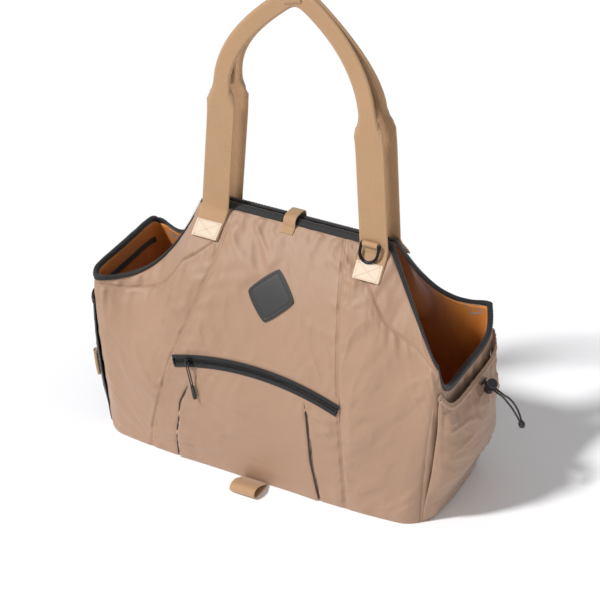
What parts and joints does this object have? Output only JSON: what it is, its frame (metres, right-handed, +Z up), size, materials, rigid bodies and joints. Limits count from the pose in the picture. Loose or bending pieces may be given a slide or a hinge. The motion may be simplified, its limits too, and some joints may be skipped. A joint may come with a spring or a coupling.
{
  "type": "pet carrier bag",
  "caption": "Soft tote for carrying a small pet: open window at each end, zipped front pocket, webbing handles joined by a keeper, drawcord end pocket and padded base.",
  "frame": {"origin": "middle of the base, on the surface that the bag stands on", "axes": "+X along the bag to the right as seen from the front, +Y to the back, +Z up"},
  "size_m": [0.5201, 0.2204, 0.5813],
  "materials": {
    "tan_nylon": "satin",
    "tan_webbing": "matte",
    "cream_tape": "satin",
    "orange_lining": "satin",
    "black_binding": "matte",
    "black_mesh": "matte",
    "pad_fabric": "matte",
    "zip_coil": "satin",
    "black_metal": "satin",
    "black_plastic": "satin",
    "patch_rubber": "matte",
    "board_plastic": "matte",
    "spring_steel": "brushed",
    "cord_sheath": "matte"
  },
  "bodies": {
    "bag": {"front_upper_panel": "tan_nylon", "front_pocket_panel": "tan_nylon", "front_left_panel": "tan_nylon", "front_right_panel": "tan_nylon", "back_centre_panel": "tan_nylon", "back_left_panel": "tan_nylon", "back_right_panel": "tan_nylon", "left_end_panel": "tan_nylon", "right_end_panel": "tan_nylon", "base_panel": "tan_nylon", "base_board": "board_plastic", "floor_lining": "orange_lining", "base_mat": "pad_fabric", "front_lining": "orange_lining", "back_lining": "orange_lining", "left_end_lining": "orange_lining", "right_end_lining": "orange_lining", "rim_binding": "black_binding", "front_pocket_lining": "black_binding", "left_inner_pocket": "orange_lining", "right_inner_pocket": "orange_lining", "zip_tape": "black_binding", "zip_chain": "zip_coil", "zip_stops": "black_plastic", "front_patch": "patch_rubber", "top_tab": "tan_webbing", "strap_roots": "tan_webbing", "strap_anchors": "cream_tape", "strap_flex_sections": "tan_webbing", "d_ring_tab": "tan_webbing", "right_end_pocket": "tan_nylon", "right_pocket_hem": "tan_nylon", "left_mesh_pocket": "black_mesh", "left_pocket_binding": "black_binding", "left_side_tab": "tan_webbing", "cord_eyelets": "black_metal", "drawcord_upper": "cord_sheath", "drawcord_lower": "cord_sheath", "cord_end_bead": "black_plastic"},
    "handles": {"front_handle": "tan_webbing", "back_handle": "tan_webbing", "handle_keeper": "tan_webbing"},
    "ring": {"d_ring": "black_metal"},
    "slider": {"zip_slider": "black_metal"},
    "puller": {"puller_cord": "cord_sheath", "puller_grip": "black_plastic"},
    "lock": {"cord_lock_body": "black_plastic", "cord_lock_spring": "spring_steel"},
    "plunger": {"cord_lock_plunger": "black_plastic"},
    "loop": {"bottom_loop": "tan_webbing"}
  },
  "joints": [
    {"name": "handle_fall", "type": "hinge", "parent": "bag", "child": "handles", "pos_m": [0.013, 0, 0.328], "axis": [-1, 0, 0], "range_deg": [-90, 90], "deforming": ["strap_flex_sections"]},
    {"name": "zip_run", "type": "hinge", "parent": "bag", "child": "slider", "pos_m": [0.0023, -0.1322, -0.1828], "axis": [0, 0.9925, -0.1219], "range_deg": [-2.4, 31]},
    {"name": "puller_swing", "type": "hinge", "parent": "slider", "child": "puller", "pos_m": [-0.07842, -0.09974, 0.14183], "axis": [0, -0.9925, 0.1219], "range_deg": [-40, 40]},
    {"name": "ring_swing", "type": "hinge", "parent": "bag", "child": "ring", "pos_m": [0.11, -0.0198, 0.306], "axis": [-1, 0, 0], "range_deg": [0, 110]},
    {"name": "lock_slide", "type": "slide", "parent": "bag", "child": "lock", "axis": [0.8988, 0, -0.4384], "range_m": [0, 0.008]},
    {"name": "plunger_press", "type": "slide", "parent": "lock", "child": "plunger", "axis": [-0.3973, 0.4226, -0.8146], "range_m": [0, 0.0029], "stiffness_N_per_m": 800, "springref_m": -0.002, "deforming": ["cord_lock_spring"]},
    {"name": "loop_fold", "type": "hinge", "parent": "bag", "child": "loop", "pos_m": [0.004, -0.0913, 0.0026], "axis": [-1, 0, 0], "range_deg": [0, 40]}
  ]
}
